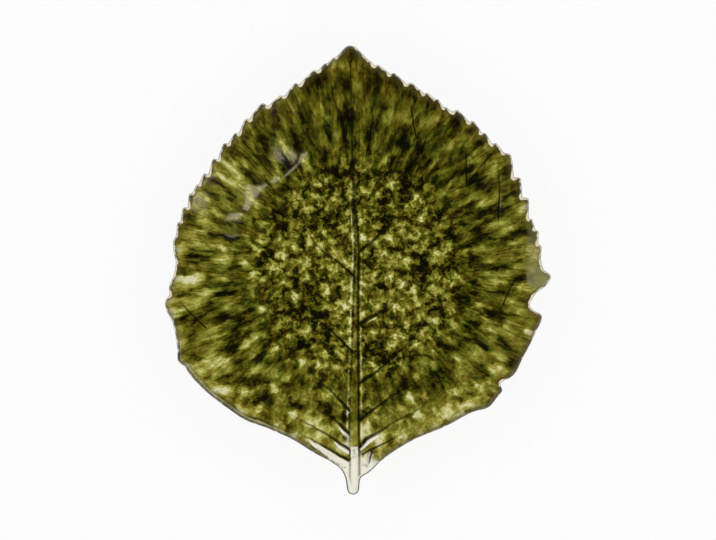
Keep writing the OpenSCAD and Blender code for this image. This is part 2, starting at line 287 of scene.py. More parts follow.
mean_run = (right_run + left_run) / 2
run = np.arange(ROWS + 1) / ROWS * mean_run
way = np.maximum(0, run - STEM_LENGTH) / (mean_run - STEM_LENGTH)
rib_y = np.minimum(run, STEM_LENGTH) + BLADE_LENGTH * (0.3 * way + 0.7 * way ** 4)
RIB = np.column_stack([midrib_x(rib_y), rib_y]) + MID


def row_points(m, e, side, t):
    """Points at shares t of the way along a row that bows from the midrib to the margin."""
    d = e - m
    bow = VEIN_BOW * side * np.stack([d[..., 1], -d[..., 0]], -1)
    return m + d * t + bow * t * (1 - t)


def drawn(points):
    """A soft line through points, stepped by 0.2 mm, and its run from the start."""
    points = np.array(points, float) + MID
    run = np.concatenate([[0], np.cumsum(np.linalg.norm(np.diff(points, axis=0), axis=1))])
    at = np.arange(0, run[-1], 0.2)
    line = np.column_stack([np.interp(at, run, points[:, k]) for k in (0, 1)])
    pad = np.vstack([2 * line[0] - line[12:0:-1], line, 2 * line[-1] - line[-2:-14:-1]])
    soft = np.column_stack([np.convolve(pad[:, k], np.ones(25) / 25, "valid") for k in (0, 1)])
    ahead = np.gradient(soft, axis=0)
    ahead /= np.linalg.norm(ahead, axis=1)[:, None]
    wander = 0.22 * np.sin(at / 1.9 + 2 * np.sin(at / 4.3)) * ease(at, 2, 8)
    return soft + wander[:, None] * np.column_stack([ahead[:, 1], -ahead[:, 0]]), ahead, at


# Lines of the side veins, with what is needed for their relief, pools and bars
vein_points, vein_ahead, vein_half, vein_pool, bar_width = [], [], [], [], []
for points, width, bar, bar_wide in VEINS:
    line, ahead, out = drawn(points)
    left = 1 - out / out[-1]
    side = 1 if points[-1][0] > points[0][0] else -1
    vein_points.append(line)
    vein_ahead.append(side * ahead)
    vein_half.append(0.5 + (0.62 * width - 0.5) * bell(out, 16))
    vein_pool.append((0.6 + 0.4 * bell(out, 24)) * ease(left, 0, 0.45))
    bar_width.append(bar_wide * np.sqrt(np.clip(1 - (out / max(bar, 0.1)) ** 1.5, 0, 1)))
vein_points, vein_ahead = np.vstack(vein_points), np.vstack(vein_ahead)
vein_half, vein_pool = np.concatenate(vein_half), np.concatenate(vein_pool)
bar_width = np.concatenate(bar_width)


def tree_of(points):
    tree = kdtree.KDTree(len(points))
    for i, p in enumerate(points):
        tree.insert((p[0], p[1], 0), i)
    tree.balance()
    return tree


def nearest(tree, points):
    found = [tree.find((p[0], p[1], 0)) for p in points]
    return np.array([f[1] for f in found]), np.array([f[2] for f in found])


vein_tree = tree_of(vein_points)
edge_tree = tree_of(np.vstack([OUTLINE, (OUTLINE + np.roll(OUTLINE, -1, 0)) / 2]))


def rib_x(y):
    """Where the midrib's crest runs: it wanders to the right at mid height and back to the tip."""
    return np.interp(y, [0, 26, 44, 65, 90, 117, 132, 147, 162, 177, 195, 240, LEAF_LENGTH],
                     [0.9, 0.9, 0.6, 0.9, 1.3, 1.6, 2.1, 2.6, 1.6, 0.6, -0.4, -1.2, -RIB_BOW])


def veined(p):
    """At points p: relief of the veins, where dark glaze pools, where it is thin and pale, where
    it is light or even at the midrib, how many half widths off a vein they lie, and its strength."""
    x, y = (p - MID).T
    off = x - rib_x(y)
    a = np.abs(off)
    up = np.clip(y / LEAF_LENGTH, 0, 1)
    half = np.interp(y, [0, 3, 10, 28, 44, 65, 90, 117, 147, 165, 195, 270],
                     [1.0, 1.3, 2.5, 2.6, 2.4, 2.1, 1.4, 1.1, 0.7, 0.5, 0.3, 0.2])
    on_stem = np.clip(y / STEM_LENGTH, 0, 1)
    on_rib = 1 - ease(a, half - 0.5, half + 0.1)
    crest = 0.45 * RIB_HEIGHT * on_stem * (1 - up) * (1 - ease(a, 0.1 * half, 1.3 * half + 0.4))
    groove_half = np.where(off > 0, 0.65 + 0.15 * ease(y, 50, 80), 0.5)
    groove = bell(a - half - 0.3, groove_half) * (1 - ease(y, 160, 180))
    single = bell(a, 1.1 - 0.7 * ease(y, 185, 225)) * ease(y, 152, 170)
    relief = crest - 0.1 * GROOVE_DEPTH * np.maximum(groove, single) * on_stem
    right_dark = np.interp(y, [0, 3, 19, 28, 34, 270], [0.0, 0.7, 0.8, 0.85, 0.95, 0.95])
    left_dark = np.interp(y, [5, 11, 28, 34, 60, 110, 150], [0.0, 0.6, 0.6, 0.6, 0.55, 0.65, 0.45])
    pool = np.minimum(1, 1.6 * groove) * np.where(off > 0, right_dark, left_dark)
    pool = np.maximum(pool, 0.9 * single)
    # Thin cream lines follow the midrib outside its grooves
    left_cream = np.interp(y, [22, 28, 50, 70, 130, 168, 180], [0, 0.65, 0.58, 0.5, 0.54, 0.56, 0])
    right_cream = np.interp(y, [22, 28, 50, 70, 140, 158], [0, 0.55, 0.5, 0.47, 0.45, 0])
    left_line = bell(off + half + 1.8, 0.65) * left_cream
    right_line = bell(off - half - 1.9, 0.65) * right_cream
    pale = np.maximum(left_line, right_line)
    lit = 0.3 * pale

    i, d = nearest(vein_tree, p)
    beyond = ease(a, half * 0.7, half + 0.5)
    ahead = vein_ahead[i]
    below = ahead[:, 1] * (x + MID[0] - vein_points[i, 0]) - ahead[:, 0] * (y + MID[1] - vein_points[i, 1])
    depth = vein_pool[i] * beyond
    relief = relief - 0.05 * VEIN_DEPTH * depth * (bell(d, 1.0) - 0.3 * bell(d - 2.0, 1.0))
    vein = np.clip(np.copysign(d, below) / vein_half[i], -8, 8)
    inked = depth * (1 - ease(d, 2.5, 4.5))
    for px, py, radius in CORNER_POOLS:
        corner = 0.9 * bell(np.hypot(x - px, y - py), radius)
        pool = np.maximum(pool, corner * ease(a, half + 0.3, half + 1.2))
    half_bar = bar_width[i] / 2
    bar = (1 - ease(np.abs(below - 1.0 - half_bar), half_bar - 0.3, half_bar + 0.4)) * ease(half_bar, 0, 0.3)
    bar = bar * (1 - 0.35 * ease(below, 1.0 + half_bar, 1.05 + 2 * half_bar))
    pale = np.maximum(pale, bar * ease(a, half + 0.2, half + 0.9))
    bare = (1 - ease(y, 28, 29.4)) * (1 - 0.22 * ease(y, 14, 22))
    foot = 1 - ease(y + np.interp(off, [-6, -2, 2, 4, 10, 15, 25], [-1.4, -2, -6, -9, -9, -4, 8]), 9, 27)
    foot = foot * (1 - 0.22 * ease(off, 3, 5) * ease(y, 8, 16))
    pale = np.maximum(pale, np.maximum(bare * on_rib, foot))
    calm = 0.3 * on_rib * (1 - ease(y, 165, 185)) * ease(y, 28, 30)
    return {
        "relief": relief, "pool": pool, "pale": pale, "lit": lit, "calm": calm,
        "vein": vein, "inked": inked,
    }


def rolled(edge, lip):
    """How far the face drops to the rounded edge, from the distance to the outline."""
    e = np.clip(edge / lip, 0, 1)
    return lip * (1 - np.sqrt(np.maximum(0, 1 - (1 - e) ** 2)))


def lower(p):
    """1 on the broad base of the leaf, where the glaze lies in soft cells."""
    return 1 - ease(p[:, 1], -92, -48)


def flow(p):
    """Glaze runs outward on the slope: the pattern's own coordinates are drawn out there."""
    r = np.maximum(np.linalg.norm(p, axis=1), 1e-6)
    over = np.maximum(0, r - RUN_RADIUS)
    squeezed = np.minimum(r, RUN_RADIUS) + over * (0.5 + 0.3 * lower(p)) + 5 * (1 - np.exp(-over / 10))
    return np.column_stack([p * (squeezed / r)[:, None], np.zeros(len(p))])


def streak(p):
    """Coordinates of the runs: round the plate at 85 mm, and a third of the way outward."""
    r = np.maximum(np.linalg.norm(p, axis=1), 1e-6)
    return np.column_stack([85 * p / r[:, None], 0.36 * r])


def still(p):
    """1 where the glaze lay still on the floor, 0 where it ran down the slope."""
    return np.maximum(1 - ease(np.linalg.norm(p, axis=1), 50, 82), 0.6 * lower(p))


def on_slope(p):
    """0 on the flat floor, 1 on the slope round it."""
    return ease(np.linalg.norm(p, axis=1), 58, 84)


def upper(p):
    """1 towards the tip of the leaf."""
    return ease(p[:, 1], 60, 100)


def lively(p):
    """How strong the pattern is: a little stronger on the slope, calmer at the base and the tip."""
    return 1 + on_slope(p) * (0.13 - 0.4 * lower(p) - 0.2 * upper(p) - 0.1 * by_stem(p))


def by_stem(p):
    """1 at the very base of the leaf, fading up to 70 mm from the stem's end."""
    return 1 - ease(p[:, 1] - MID[1], 30, 70)


def cloudy(p):
    """How strongly the glaze clouds over wide patches: on the slope and the base, not on the floor."""
    return on_slope(p) * (0.4 + 0.3 * lower(p) - 0.1 * upper(p))


def tone(p):
    """Lightness of the glaze by region: dark round the floor's edge and at the tip, light below and
    on the left."""
    r = np.linalg.norm(p, axis=1)
    y = p[:, 1]
    s = share(p)
    light = 0.03 * (1 - ease(r, 25, 60)) - 0.044 * bell(r - 64, 26) - 0.012 * on_slope(p)
    light += 0.125 * ease(s, 0.45, 0.95) * (1 - ease(y, 55, 105))
    light += 0.088 * (1 - ease(y, -100, -45))
    light += (0.075 * ease(-p[:, 0], 60, 90) - 0.028 * ease(p[:, 0], 55, 85)) * (1 - ease(y, 50, 90))
    light += 0.07 * by_stem(p) - 0.02 * upper(p)
    return light


def margin_tone(p, edge):
    """Darker and lighter lengths beside the margin, by the turn from the stem and the depth inside it."""
    turn = np.degrees(bearing(p))
    light = -0.05 * bell(edge - 5, 2.4) * (1 - bell(turn - 30, 26)) * (1 - bell(turn - 288, 20))
    for at, wide, depth, deep, change in MARGIN_TONES:
        light += change * bell(turn - at, wide) * bell(edge - depth, deep)
    return light


def warmth(p):
    """How brown the glass is by region: green on the slope, browner in the middle, at the rim and at
    the base."""
    r = np.linalg.norm(p, axis=1)
    brown = -0.62 - 0.13 * bell(r - 78, 22) + 0.2 * ease(share(p), 0.6, 1)
    return brown + 0.12 * lower(p)


def painted_sheen(p, edge):
    """Where a pale grey sheen is painted on the glaze in place of reflections: inside the spur on the right,
    and on the lip at the lower left.
    """
    x, y = (p - MID).T
    spur = (1 - ease(np.hypot(x - 111, y - 131), 5.5, 8.5)) * ease(x, 103.5, 106)
    above = 0.6 * ease(x + 0.5 * np.sin(y / 2.1), 103.5, 106.5) * ease(y, 130, 138) * (1 - ease(y, 152, 166))
    turn = bearing(p)
    lip = ease(edge, 0.8, 1.2) * (1 - ease(edge, 1.8, 2.3)) * lip_zone(p)
    lip = lip * (0.4 + 0.25 * np.sin(29 * turn + 2 * np.sin(13 * turn)))
    return np.maximum(0.4 * np.maximum(spur, above), lip)


def lip_zone(p):
    """1 along the lower left margin, where the lip is thick."""
    return bell(bearing(p) - LIP_TURN, math.radians(20))


def solid(name, node, slot, finish, points, faces, **marks):
    """A closed piece of the plate in metres, with the marks that its finish reads."""
    mesh = bpy.data.meshes.new(name)
    mesh.from_pydata((np.asarray(points) * MM).tolist(), [], [list(map(int, f)) for f in faces])
    mesh.polygons.foreach_set("use_smooth", np.ones(len(mesh.polygons), bool))
    for mark, values in marks.items():
        values = np.asarray(values, np.float32)
        kind = "FLOAT" if values.ndim == 1 else "FLOAT_VECTOR"
        layer = mesh.attributes.new(mark, kind, "POINT")
        layer.data.foreach_set("value" if values.ndim == 1 else "vector", values.ravel())
    mesh.update()
    piece = bpy.data.objects.new(name, mesh)
    bpy.context.scene.collection.objects.link(piece)
    mesh.materials.append(finish)
    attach(piece, "root")
    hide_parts(node)


def band(a, b):
    """Faces between two closed loops of point numbers."""
    c, d = np.roll(a, -1), np.roll(b, -1)
    return np.column_stack([a, c, d, b])


# Upper face: rows from the left margin over the midrib to the right margin
inside = np.arange(1, ROWS)


def half_rows(side):
    m = RIB[inside]
    e = INSET[inside] if side > 0 else INSET[LOOP - inside]
    half = np.abs(e[:, 0] - m[:, 0])
    zone = np.minimum(RIB_WIDTH / 2 + GROOVE_WIDTH + 1.5, 0.5 * half) / half
    near = zone[:, None] * np.arange(1, INNER_COLUMNS + 1) / INNER_COLUMNS
    u = np.arange(1, OUTER_COLUMNS + 1) / OUTER_COLUMNS
    far = zone[:, None] + (1 - zone[:, None]) * (1 - (1 - u) ** 1.35)
    t = np.hstack([near, far])[:, :, None]
    return row_points(m[:, None, :], e[:, None, :], side, t)


rows = np.concatenate([half_rows(-1)[:, ::-1], RIB[inside][:, None], half_rows(1)], axis=1)
COLUMNS = rows.shape[1]
face = np.vstack([INSET[:1], rows.reshape(-1, 2), INSET[ROWS:ROWS + 1]])
cell = 1 + np.arange((ROWS - 1) * COLUMNS).reshape(ROWS - 1, COLUMNS)
LAST = len(face) - 1
FACE_LOOP = np.concatenate([[0], cell[:, -1], [LAST], cell[::-1, 0]])
quads = np.stack([cell[:-1, :-1], cell[:-1, 1:], cell[1:, 1:], cell[1:, :-1]], -1).reshape(-1, 4)
stem_fan = [(0, cell[0, k + 1], cell[0, k]) for k in range(COLUMNS - 1)]
tip_fan = [(LAST, cell[-1, k], cell[-1, k + 1]) for k in range(COLUMNS - 1)]
face_faces = quads.tolist() + stem_fan + tip_fan

# The lip is thicker and rolls over further on the lower left
loop_turn = bearing(OUTLINE)
LIP = 2.3 + 2.2 * bell(loop_turn - LIP_TURN, math.radians(26))
face_near, face_edge = nearest(edge_tree, face)
face_veins = veined(face)
at_margin = ease(face_edge, 0.5, 5)
# A hand-pressed face undulates by less than a fifth of a millimetre: turn and length of each swell
SWELLS = [(0.3, 21), (1.1, 27), (1.7, 18), (2.2, 24), (2.7, 34), (0.8, 30)]
SWELL_HEIGHT = 0.03
undulation = 0
for swell_turn, length in SWELLS:
    along = face[:, 0] * math.cos(swell_turn) + face[:, 1] * math.sin(swell_turn)
    undulation = undulation + SWELL_HEIGHT * np.sin(2 * math.pi * along / length + 5 * swell_turn)
undulation = undulation * ease(face_edge, 8, 24)
face_z = clay_top(face) + (face_veins.pop("relief") + undulation) * at_margin
face_z = face_z - rolled(face_edge, LIP[face_near % LOOP])


def coat_marks(p, edge, down=0, **more):
    """The marks that the glaze reads at points p, down over the rim's side. Those of the veins are
    plain where not given."""
    marks = {"pool": 0, "pale": 0, "lit": 0, "calm": 0, "vein": 8, "inked": 0, "notch": 0, **more}
    marks = {key: value + np.zeros(len(p)) for key, value in marks.items()}
    lit, calm = marks.pop("lit"), marks.pop("calm")
    down = np.multiply.outer(down + np.zeros(len(p)), [0, 0, 1])
    return {
        "flow": flow(p) + down, "streak": streak(p), "still": still(p), "lively": lively(p) * (1 - calm),
        "cloudy": cloudy(p), "tone": tone(p) + margin_tone(p, edge) + lit + 0.2 * calm,
        "warmth": warmth(p), "painted_sheen": painted_sheen(p, edge), "edge": edge, **marks,
    }


def linear(code):
    """An sRGB hex colour as linear RGBA."""
    parts = [int(code[i:i + 2], 16) / 255 for i in (1, 3, 5)]
    return [c / 12.92 if c <= 0.04045 else ((c + 0.055) / 1.055) ** 2.4 for c in parts] + [1.0]


def add(tree, kind, links=(), stops=(), **settings):
    """Adds one node: settings are its properties, links its inputs by name or number."""
    made = tree.nodes.new(kind)
    for key, value in settings.items():
        setattr(made, key, value)
    for key, value in dict(links).items():
        if isinstance(value, bpy.types.NodeSocket):
            tree.links.new(value, made.inputs[key])
        else:
            made.inputs[key].default_value = value
    for k, (place, code) in enumerate(stops):
        ramp = made.color_ramp.elements
        stop = ramp[k] if k < 2 else ramp.new(place)
        stop.position = place
        stop.color = linear(code)
    return made


def new_finish(name):
    made = bpy.data.materials.new(name)
    made.use_nodes = True
    made.node_tree.nodes.clear()
    return made, made.node_tree


def reactive_glaze(name, lift):
    """Glossy reactive stoneware glaze: clear olive glass in which yellow-green crystals float as
    spots where it lay still and as streaks where it ran. It pools almost black in the veins and
    breaks to cream and brown where it is thin on edges and ribs."""
    finish, tree = new_finish(name)
    run, ran = [
        add(tree, "ShaderNodeAttribute", attribute_name=mark).outputs["Vector"]
        for mark in ("flow", "streak")]
    edge, notch, pool, pale, vein, inked, light, hue, lay, strong, sheen_mask, cloudy = [
        add(tree, "ShaderNodeAttribute", attribute_name=mark).outputs["Fac"]
        for mark in ("edge", "notch", "pool", "pale", "vein", "inked", "tone", "warmth", "still", "lively",
                     "painted_sheen", "cloudy")]
    # Crystals are pushed about by 1 mm in swirls of 3 mm
    swirl = add(tree, "ShaderNodeTexNoise", {"Vector": run, "Scale": 1 / 3, "Detail": 2.0})
    shift = add(tree, "ShaderNodeVectorMath", {0: swirl.outputs["Color"], 1: (0.5, 0.5, 0.5)},
                operation="SUBTRACT")
    pushed = add(tree, "ShaderNodeVectorMath", {0: shift.outputs[0], 1: (4.5, 4.5, 4.5), 2: run},
                 operation="MULTIPLY_ADD").outputs[0]
    # Crystal spots 8.5 mm apart, blotches of 3.6 mm, crumbs of 1.8 mm, grain of 1 mm, clouds of 7 mm
    spots = add(tree, "ShaderNodeTexVoronoi", {"Vector": pushed, "Scale": 1 / 8.5, "Randomness": 0.78})
    blotches = add(tree, "ShaderNodeTexNoise",
                   {"Vector": pushed, "Scale": 1 / 3.6, "Detail": 2.0, "Roughness": 0.55})
    crumbs = add(tree, "ShaderNodeTexNoise",
                 {"Vector": pushed, "Scale": 1 / 1.8, "Detail": 2.0, "Roughness": 0.6})
    grain = add(tree, "ShaderNodeTexNoise",
                {"Vector": run, "Scale": 1 / 1.0, "Detail": 2.0, "Roughness": 0.6})
    clouds = add(tree, "ShaderNodeTexNoise", {"Vector": pushed, "Scale": 1 / 7, "Detail": 1.0})
    crystals = add(tree, "ShaderNodeMapRange", {0: blotches.outputs["Fac"], 1: 0.4, 2: 0.66},
                   interpolation_type="SMOOTHSTEP")
    lying = add(tree, "ShaderNodeMath", {0: spots.outputs["Distance"], 1: -0.62, 2: 0.095},
                operation="MULTIPLY_ADD")
    for part, weight in ((crumbs, 0.08), (blotches, 0.32), (crystals, 0.18)):
        lying = add(tree, "ShaderNodeMath", {0: part.outputs[0], 1: weight, 2: lying.outputs[0]},
                    operation="MULTIPLY_ADD")
    # On the slope runs 5.2 mm wide and feathers of 1.6 mm take the place of the spots, with dark
    # hairlines between them
    wavy = add(tree, "ShaderNodeVectorMath", {0: shift.outputs[0], 1: (3, 3, 3), 2: ran},
               operation="MULTIPLY_ADD").outputs[0]
    runs = add(tree, "ShaderNodeTexNoise",
               {"Vector": wavy, "Scale": 1 / 5.2, "Detail": 2.0, "Roughness": 0.45})
    drawn_out = add(tree, "ShaderNodeVectorMath", {0: ran, 1: (1, 1, 0.4), 2: (0, 0, 11)},
                    operation="MULTIPLY_ADD").outputs[0]
    feathers = add(tree, "ShaderNodeTexNoise", {"Vector": drawn_out, "Scale": 1 / 1.6, "Detail": 1.0})
    hairs = add(tree, "ShaderNodeTexNoise", {"Vector": drawn_out, "Scale": 1 / 5, "Detail": 1.0})
    hairs = add(tree, "ShaderNodeMath", {0: hairs.outputs["Fac"], 1: 0.5}, operation="SUBTRACT")
    hairs = add(tree, "ShaderNodeMath", {0: hairs.outputs[0]}, operation="ABSOLUTE")
    hairs = add(tree, "ShaderNodeMapRange", {0: hairs.outputs[0], 1: 0.0, 2: 0.03, 3: -0.7, 4: -0.59})
    running = hairs
    for part, weight in ((runs, 0.75), (feathers, 0.1), (blotches, 0.4)):
        running = add(tree, "ShaderNodeMath", {0: part.outputs[0], 1: weight, 2: running.outputs[0]},
                      operation="MULTIPLY_ADD")
    drift = add(tree, "ShaderNodeMath", {0: spots.outputs["Distance"], 1: -0.45, 2: -0.28},
                operation="MULTIPLY_ADD")
    drift = add(tree, "ShaderNodeMath", {0: clouds.outputs["Fac"], 1: drift.outputs[0]}, operation="ADD")
    settled = add(tree, "ShaderNodeMath", {0: lay, 1: 1.25, 2: drift.outputs[0]}, operation="MULTIPLY_ADD")
    pattern = add(tree, "ShaderNodeMix",
                  {0: settled.outputs[0], 2: running.outputs[0], 3: lying.outputs[0]}).outputs[0]
    pattern = add(tree, "ShaderNodeMath", {0: grain.outputs["Fac"], 1: 0.17, 2: pattern},
                  operation="MULTIPLY_ADD")
    hollows = add(tree, "ShaderNodeMapRange", {0: clouds.outputs["Fac"], 1: 0.33, 2: 0.42, 3: -0.14, 4: 0.0},
                  interpolation_type="SMOOTHSTEP")
    wide = add(tree, "ShaderNodeMath", {0: drift.outputs[0], 1: hollows.outputs[0]}, operation="ADD")
    pattern = add(tree, "ShaderNodeMath", {0: wide.outputs[0], 1: cloudy, 2: pattern.outputs[0]},
                  operation="MULTIPLY_ADD")
    level = add(tree, "ShaderNodeMath", {0: light, 1: lift}, operation="ADD")
    level = add(tree, "ShaderNodeMath", {0: pattern.outputs[0], 1: strong, 2: level.outputs[0]},
                operation="MULTIPLY_ADD").outputs[0]
    olive = add(tree, "ShaderNodeValToRGB", {"Fac": level}, stops=(
        (0.23, "#070900"), (0.89, "#e0e0b4"), (0.3, "#121500"), (0.34, "#1b1f01"), (0.39, "#2b3003"),
        (0.48, "#4b500d"), (0.565, "#696e1c"), (0.645, "#878b34"), (0.74, "#afb354"), (0.79, "#c8ca7c")))
    brown = add(tree, "ShaderNodeValToRGB", {"Fac": level}, stops=(
        (0.23, "#100900"), (0.89, "#e8e2b8"), (0.3, "#1b1300"), (0.34, "#271d01"), (0.39, "#372d03"),
        (0.48, "#594d0d"), (0.565, "#776a1c"), (0.645, "#928834"), (0.74, "#bab154"), (0.79, "#d2cc80")))
    # Hue drifts over 6 mm between green and brown glass, browner by region
    warmth = add(tree, "ShaderNodeTexNoise", {"Vector": run, "Scale": 1 / 6, "Detail": 2.0})
    warm = add(tree, "ShaderNodeMath", {0: warmth.outputs["Fac"], 1: 2.2, 2: hue}, operation="MULTIPLY_ADD",
               use_clamp=True)
    colour = add(tree, "ShaderNodeMix", {0: warm.outputs[0], 6: olive.outputs[0], 7: brown.outputs[0]},
                 data_type="RGBA").outputs[2]
    # Where it is thin it breaks to cream over ragged lengths of about 3 mm
    rag = add(tree, "ShaderNodeTexNoise", {"Vector": run, "Scale": 1 / 3, "Detail": 3.0})
    thin = add(tree, "ShaderNodeMath", {0: rag.outputs["Fac"], 1: 1.2, 2: -0.6}, operation="MULTIPLY_ADD")
    thin = add(tree, "ShaderNodeMath", {0: pale, 1: thin.outputs[0]}, operation="ADD")
    thin = add(tree, "ShaderNodeMapRange", {0: thin.outputs[0], 1: 0.45, 2: 0.8})
    covered = add(tree, "ShaderNodeMath", {0: 1.0, 1: thin.outputs[0]}, operation="SUBTRACT")
    colour = add(tree, "ShaderNodeMix", {0: thin.outputs[0], 6: colour, 7: linear("#f9f6e6")},
                 data_type="RGBA").outputs[2]
    beside = add(tree, "ShaderNodeMath", {0: vein}, operation="ABSOLUTE")
    line = add(tree, "ShaderNodeMapRange", {0: beside.outputs[0], 1: 0.6, 2: 1.6, 3: 1.0, 4: 0.0})
    line = add(tree, "ShaderNodeMath", {0: line.outputs[0], 1: inked}, operation="MULTIPLY")
    dark = add(tree, "ShaderNodeMath", {0: pool, 1: line.outputs[0]}, operation="MAXIMUM")
    dark = add(tree, "ShaderNodeMath", {0: dark.outputs[0], 1: 0.95}, operation="MULTIPLY")
    ink = add(tree, "ShaderNodeMix", {0: thin.outputs[0], 6: linear("#0d0b02"), 7: linear("#4b3d1c")},
              data_type="RGBA").outputs[2]
    colour = add(tree, "ShaderNodeMix", {0: dark.outputs[0], 6: colour, 7: ink}, data_type="RGBA").outputs[2]
    # Rim: a brown band and a dark one, a broken cream line that widens in the notches, and a broken
    # dark outer edge, partly dark glaze and partly painted shade on the rim's outer side where it turns down
    ragged = add(tree, "ShaderNodeMath", {0: rag.outputs["Fac"], 1: -2.4, 2: 1.2}, operation="MULTIPLY_ADD")
    ragged = add(tree, "ShaderNodeMath", {0: edge, 1: ragged.outputs[0]}, operation="ADD").outputs[0]
    for near, far, strength, code in ((2.2, 5.0, 0.45, "#5a4f24"), (1.2, 2.2, 0.6, "#362c12")):
        strip = add(tree, "ShaderNodeMapRange", {0: ragged, 1: near, 2: far, 3: strength, 4: 0.0})
        strip = add(tree, "ShaderNodeMath", {0: strip.outputs[0], 1: covered.outputs[0]},
                    operation="MULTIPLY")
        colour = add(tree, "ShaderNodeMix", {0: strip.outputs[0], 6: colour, 7: linear(code)},
                     data_type="RGBA").outputs[2]
    # Painted sheen: a pale grey overlay inside the spur and on the lower left lip stands in for reflections
    colour = add(tree, "ShaderNodeMix", {0: sheen_mask, 6: colour, 7: linear("#acaa7a")},
                 data_type="RGBA").outputs[2]
    broken = add(tree, "ShaderNodeMath", {0: notch, 1: -1.1, 2: ragged}, operation="MULTIPLY_ADD")
    broken = add(tree, "ShaderNodeMapRange", {0: broken.outputs[0], 1: 0.45, 2: 0.85, 3: 1.0, 4: 0.0})
    colour = add(tree, "ShaderNodeMix", {0: broken.outputs[0], 6: colour, 7: linear("#ece2c4")},
                 data_type="RGBA").outputs[2]
    # Dark outer edge: partly dark glaze, partly painted shade on the rim's outer side, which turns down
    outer = add(tree, "ShaderNodeMath", {0: thin.outputs[0], 1: -0.3, 2: edge}, operation="MULTIPLY_ADD")
    outer = add(tree, "ShaderNodeMapRange", {0: outer.outputs[0], 1: 0.25, 2: 0.5, 3: 0.9, 4: 0.0})
    parted = add(tree, "ShaderNodeMapRange", {0: rag.outputs["Fac"], 1: 0.4, 2: 0.6, 3: 1.0, 4: 0.5})
    parted = add(tree, "ShaderNodeMath", {0: parted.outputs[0], 1: thin.outputs[0]}, operation="MAXIMUM")
    outer = add(tree, "ShaderNodeMath", {0: outer.outputs[0], 1: parted.outputs[0]}, operation="MULTIPLY")
    colour = add(tree, "ShaderNodeMix", {0: outer.outputs[0], 6: colour, 7: linear("#231b0b")},
                 data_type="RGBA").outputs[2]
    # The glass is smooth with a faint ripple over the clouds
    ripple = add(tree, "ShaderNodeBump",
                 {"Strength": 0.1, "Distance": 0.4 * MM, "Height": clouds.outputs["Fac"]})
    shader = add(tree, "ShaderNodeBsdfPrincipled", {
        "Base Color": colour, "Roughness": 0.06, "IOR": 1.5, "Normal": ripple.outputs[0]})
    add(tree, "ShaderNodeOutputMaterial", {"Surface": shader.outputs[0]})
    return finish


def bare_stoneware(name, code_light, code_dark):
    """Unglazed fired stoneware: a matt sandy biscuit with iron specks and fine grog tooth."""
    finish, tree = new_finish(name)
    where = add(tree, "ShaderNodeTexCoord").outputs["Object"]
    # Clouds of 12 mm, iron specks 3 mm apart, grog of 0.5 mm
    clouds = add(tree, "ShaderNodeTexNoise", {"Vector": where, "Scale": 1 / (12 * MM), "Detail": 3.0})
    ramp = add(tree, "ShaderNodeValToRGB", {"Fac": clouds.outputs["Fac"]},
               stops=((0.3, code_dark), (0.7, code_light)))
    specks = add(tree, "ShaderNodeTexVoronoi", {"Vector": where, "Scale": 1 / (3 * MM)})
    speck = add(tree, "ShaderNodeMapRange", {0: specks.outputs["Distance"], 1: 0.08, 2: 0.16, 3: 0.7, 4: 0.0})
    colour = add(tree, "ShaderNodeMix", {0: speck.outputs[0], 6: ramp.outputs[0], 7: linear("#5a3f28")},
                 data_type="RGBA").outputs[2]
    grog = add(tree, "ShaderNodeTexNoise", {"Vector": where, "Scale": 1 / (0.5 * MM), "Detail": 2.0})
    tooth = add(tree, "ShaderNodeBump",
                {"Strength": 0.35, "Distance": 0.15 * MM, "Height": grog.outputs["Fac"]})
    shader = add(tree, "ShaderNodeBsdfPrincipled", {
        "Base Color": colour, "Roughness": 0.85, "IOR": 1.5, "Normal": tooth.outputs[0]})
    add(tree, "ShaderNodeOutputMaterial", {"Surface": shader.outputs[0]})
    return finish


green_glaze = reactive_glaze("reactive_green_glaze", 0.38)
rim_glaze = reactive_glaze("reactive_rim_glaze", 0.38)
back_glaze = reactive_glaze("reactive_back_glaze", 0.4)
stoneware = bare_stoneware("fired_stoneware", "#c3b094", "#a8947a")
bare_foot = bare_stoneware("wiped_stoneware_foot", "#cfb998", "#b39d7e")

# Face coat: its glassy top and the clay side under it
count = len(face)
lift = np.column_stack([face, face_z + GLAZE])
under = np.column_stack([face, face_z])
face_turn = bearing(face)
# The thick lip has a dark outline, painted shade on its rolled outer side, and, 2.8 mm in, a dark line that
# wanders and fades in and out
lip_line = bell(face_edge - 2.8 - 0.3 * np.sin(31 * face_turn) - 0.15 * np.sin(67 * face_turn), 0.6)
lip_line *= 0.75 + 0.25 * np.sin(43 * face_turn + 2 * np.sin(17 * face_turn))
lip_line = np.minimum(1, 1.3 * lip_zone(face)) * np.maximum(lip_line, 1 - ease(face_edge, 0.5, 1.0))
# The lip's dark lines join the dark glaze pooled in the veins; the lip's outline among them is painted shade
face_veins["pool"] = np.maximum(face_veins["pool"], lip_line)
face_notch = NOTCH[face_near % LOOP] * (1 - ease(face_edge, 1.2, 4))
marks = coat_marks(face, face_edge, notch=face_notch, **face_veins)
solid(
    "glaze_on_face", "face_glaze", "green_glaze", green_glaze,
    np.vstack([lift, under]),
    face_faces + [tuple(i + count for i in f[::-1]) for f in face_faces]
    + band(FACE_LOOP + count, FACE_LOOP).tolist(),
    **{k: np.concatenate([v, v]) for k, v in marks.items()},
)

